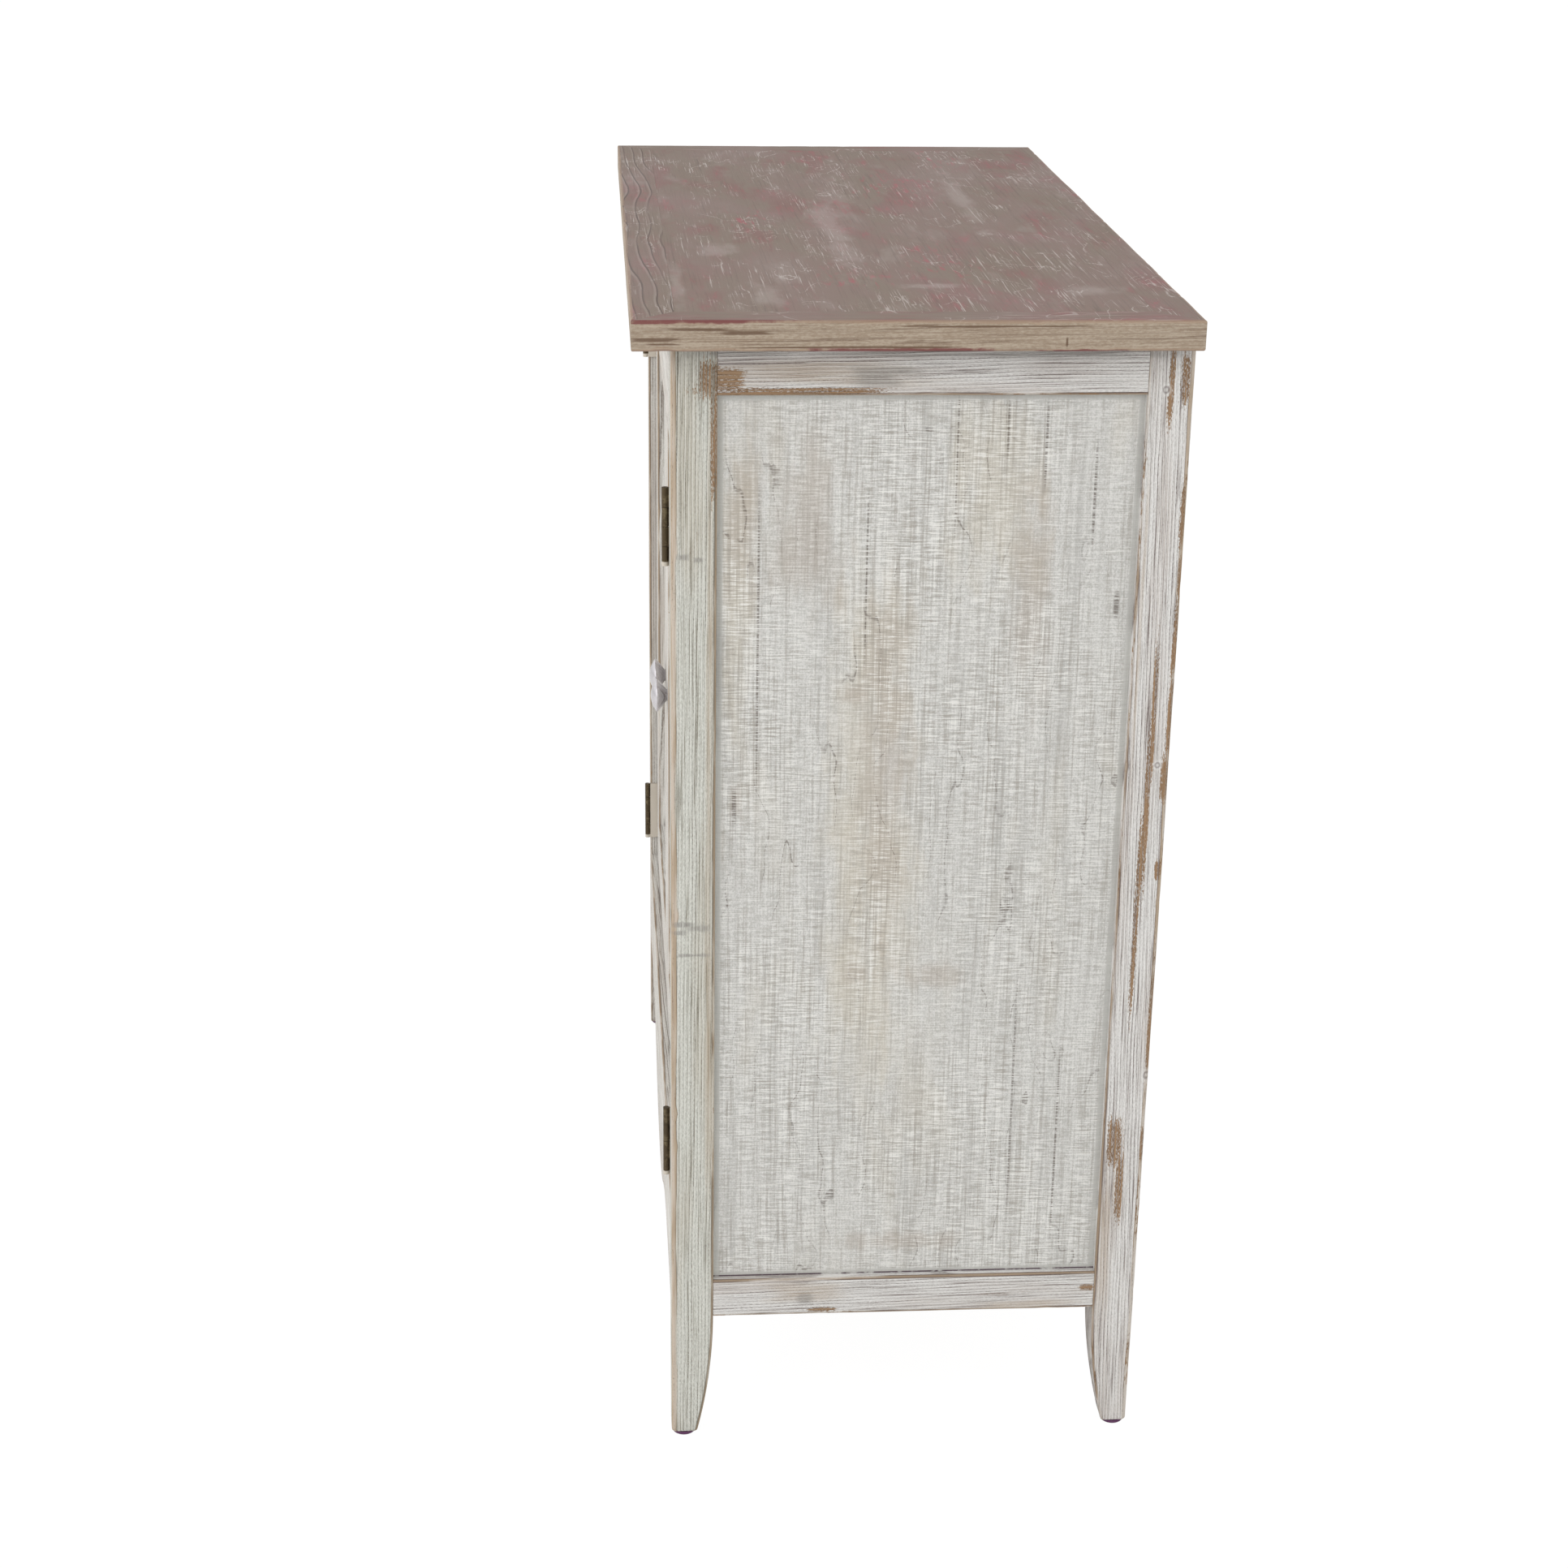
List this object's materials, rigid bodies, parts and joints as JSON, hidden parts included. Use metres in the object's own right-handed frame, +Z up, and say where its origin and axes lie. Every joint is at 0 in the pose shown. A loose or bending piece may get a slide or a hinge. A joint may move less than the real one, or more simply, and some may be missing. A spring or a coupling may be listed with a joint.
{
  "type": "storage cabinet",
  "caption": "Free-standing storage cabinet with hinged panel doors, framed sides, a wavy apron, tapered legs, an inner shelf and an overhanging mitre-bordered top.",
  "frame": {"origin": "on the floor, under the middle of the top", "axes": "+X to the cabinet's side with the pictured panel, -Y out of the doors, +Z up"},
  "size_m": [0.812, 0.387, 0.888],
  "materials": {
    "top_wood": "weathered taupe stain, rubbed thin in places, with fine limed scratches",
    "whitewashed_wood": "brushed off-white wash over brown wood, worn through at corners and joints",
    "side_panel_wood": "cool grey-white wash crossed by fine saw scratches",
    "inner_wood": "plain sanded softwood with a thin clear coat",
    "hinge_brass": "dark antique brass, worn brighter at the knuckles",
    "knob_metal": "satin",
    "zinc_steel": "bright zinc plate",
    "catch_plastic": "moulded, fine texture",
    "glide_plastic": "moulded, scuffed underneath"
  },
  "bodies": {
    "cabinet": {"back_bottom_rail": "whitewashed_wood", "back_left_post": "whitewashed_wood", "back_panel": "inner_wood", "back_right_post": "whitewashed_wood", "back_top_rail": "whitewashed_wood", "floor_board": "inner_wood", "foot_glides": "glide_plastic", "frame_dowels": "inner_wood", "front_apron": "whitewashed_wood", "front_frieze": "whitewashed_wood", "front_left_post": "whitewashed_wood", "front_right_post": "whitewashed_wood", "hinge_pins": "hinge_brass", "left_bottom_rail": "whitewashed_wood", "left_floor_cleat": "inner_wood", "left_lower_post_leaf": "hinge_brass", "left_shelf_cleat": "inner_wood", "left_side_panel": "side_panel_wood", "left_top_cleat": "inner_wood", "left_top_rail": "whitewashed_wood", "left_upper_post_leaf": "hinge_brass", "magnetic_catch": "catch_plastic", "post_leaf_screws": "hinge_brass", "right_bottom_rail": "whitewashed_wood", "right_floor_cleat": "inner_wood", "right_lower_post_leaf": "hinge_brass", "right_shelf_cleat": "inner_wood", "right_side_panel": "side_panel_wood", "right_top_cleat": "inner_wood", "right_top_rail": "whitewashed_wood", "right_upper_post_leaf": "hinge_brass", "shelf": "inner_wood", "top_back_border": "top_wood", "top_field_panel": "top_wood", "top_front_border": "top_wood", "top_left_border": "top_wood", "top_right_border": "top_wood", "top_screws": "zinc_steel"},
    "right_door": {"right_door_bottom_rail": "whitewashed_wood", "right_door_hinge_stile": "whitewashed_wood", "right_door_leaf_screws": "hinge_brass", "right_door_meeting_stile": "whitewashed_wood", "right_door_panel": "whitewashed_wood", "right_door_top_rail": "whitewashed_wood", "right_knob": "knob_metal", "right_knob_screw": "zinc_steel", "right_lower_door_leaf": "hinge_brass", "right_strike_plate": "zinc_steel", "right_upper_door_leaf": "hinge_brass"},
    "left_door": {"left_door_bottom_rail": "whitewashed_wood", "left_door_hinge_stile": "whitewashed_wood", "left_door_leaf_screws": "hinge_brass", "left_door_meeting_stile": "whitewashed_wood", "left_door_panel": "whitewashed_wood", "left_door_top_rail": "whitewashed_wood", "left_knob": "knob_metal", "left_knob_screw": "zinc_steel", "left_lower_door_leaf": "hinge_brass", "left_strike_plate": "zinc_steel", "left_upper_door_leaf": "hinge_brass"}
  },
  "joints": [
    {"name": "right_door_hinge", "type": "hinge", "parent": "cabinet", "child": "right_door", "pos_m": [0.3457, -0.1695, 0.494], "axis": [0, 0, 1], "range_deg": [0, 180]},
    {"name": "left_door_hinge", "type": "hinge", "parent": "cabinet", "child": "left_door", "pos_m": [-0.3457, -0.1695, 0.494], "axis": [0, 0, -1], "range_deg": [0, 180]}
  ]
}
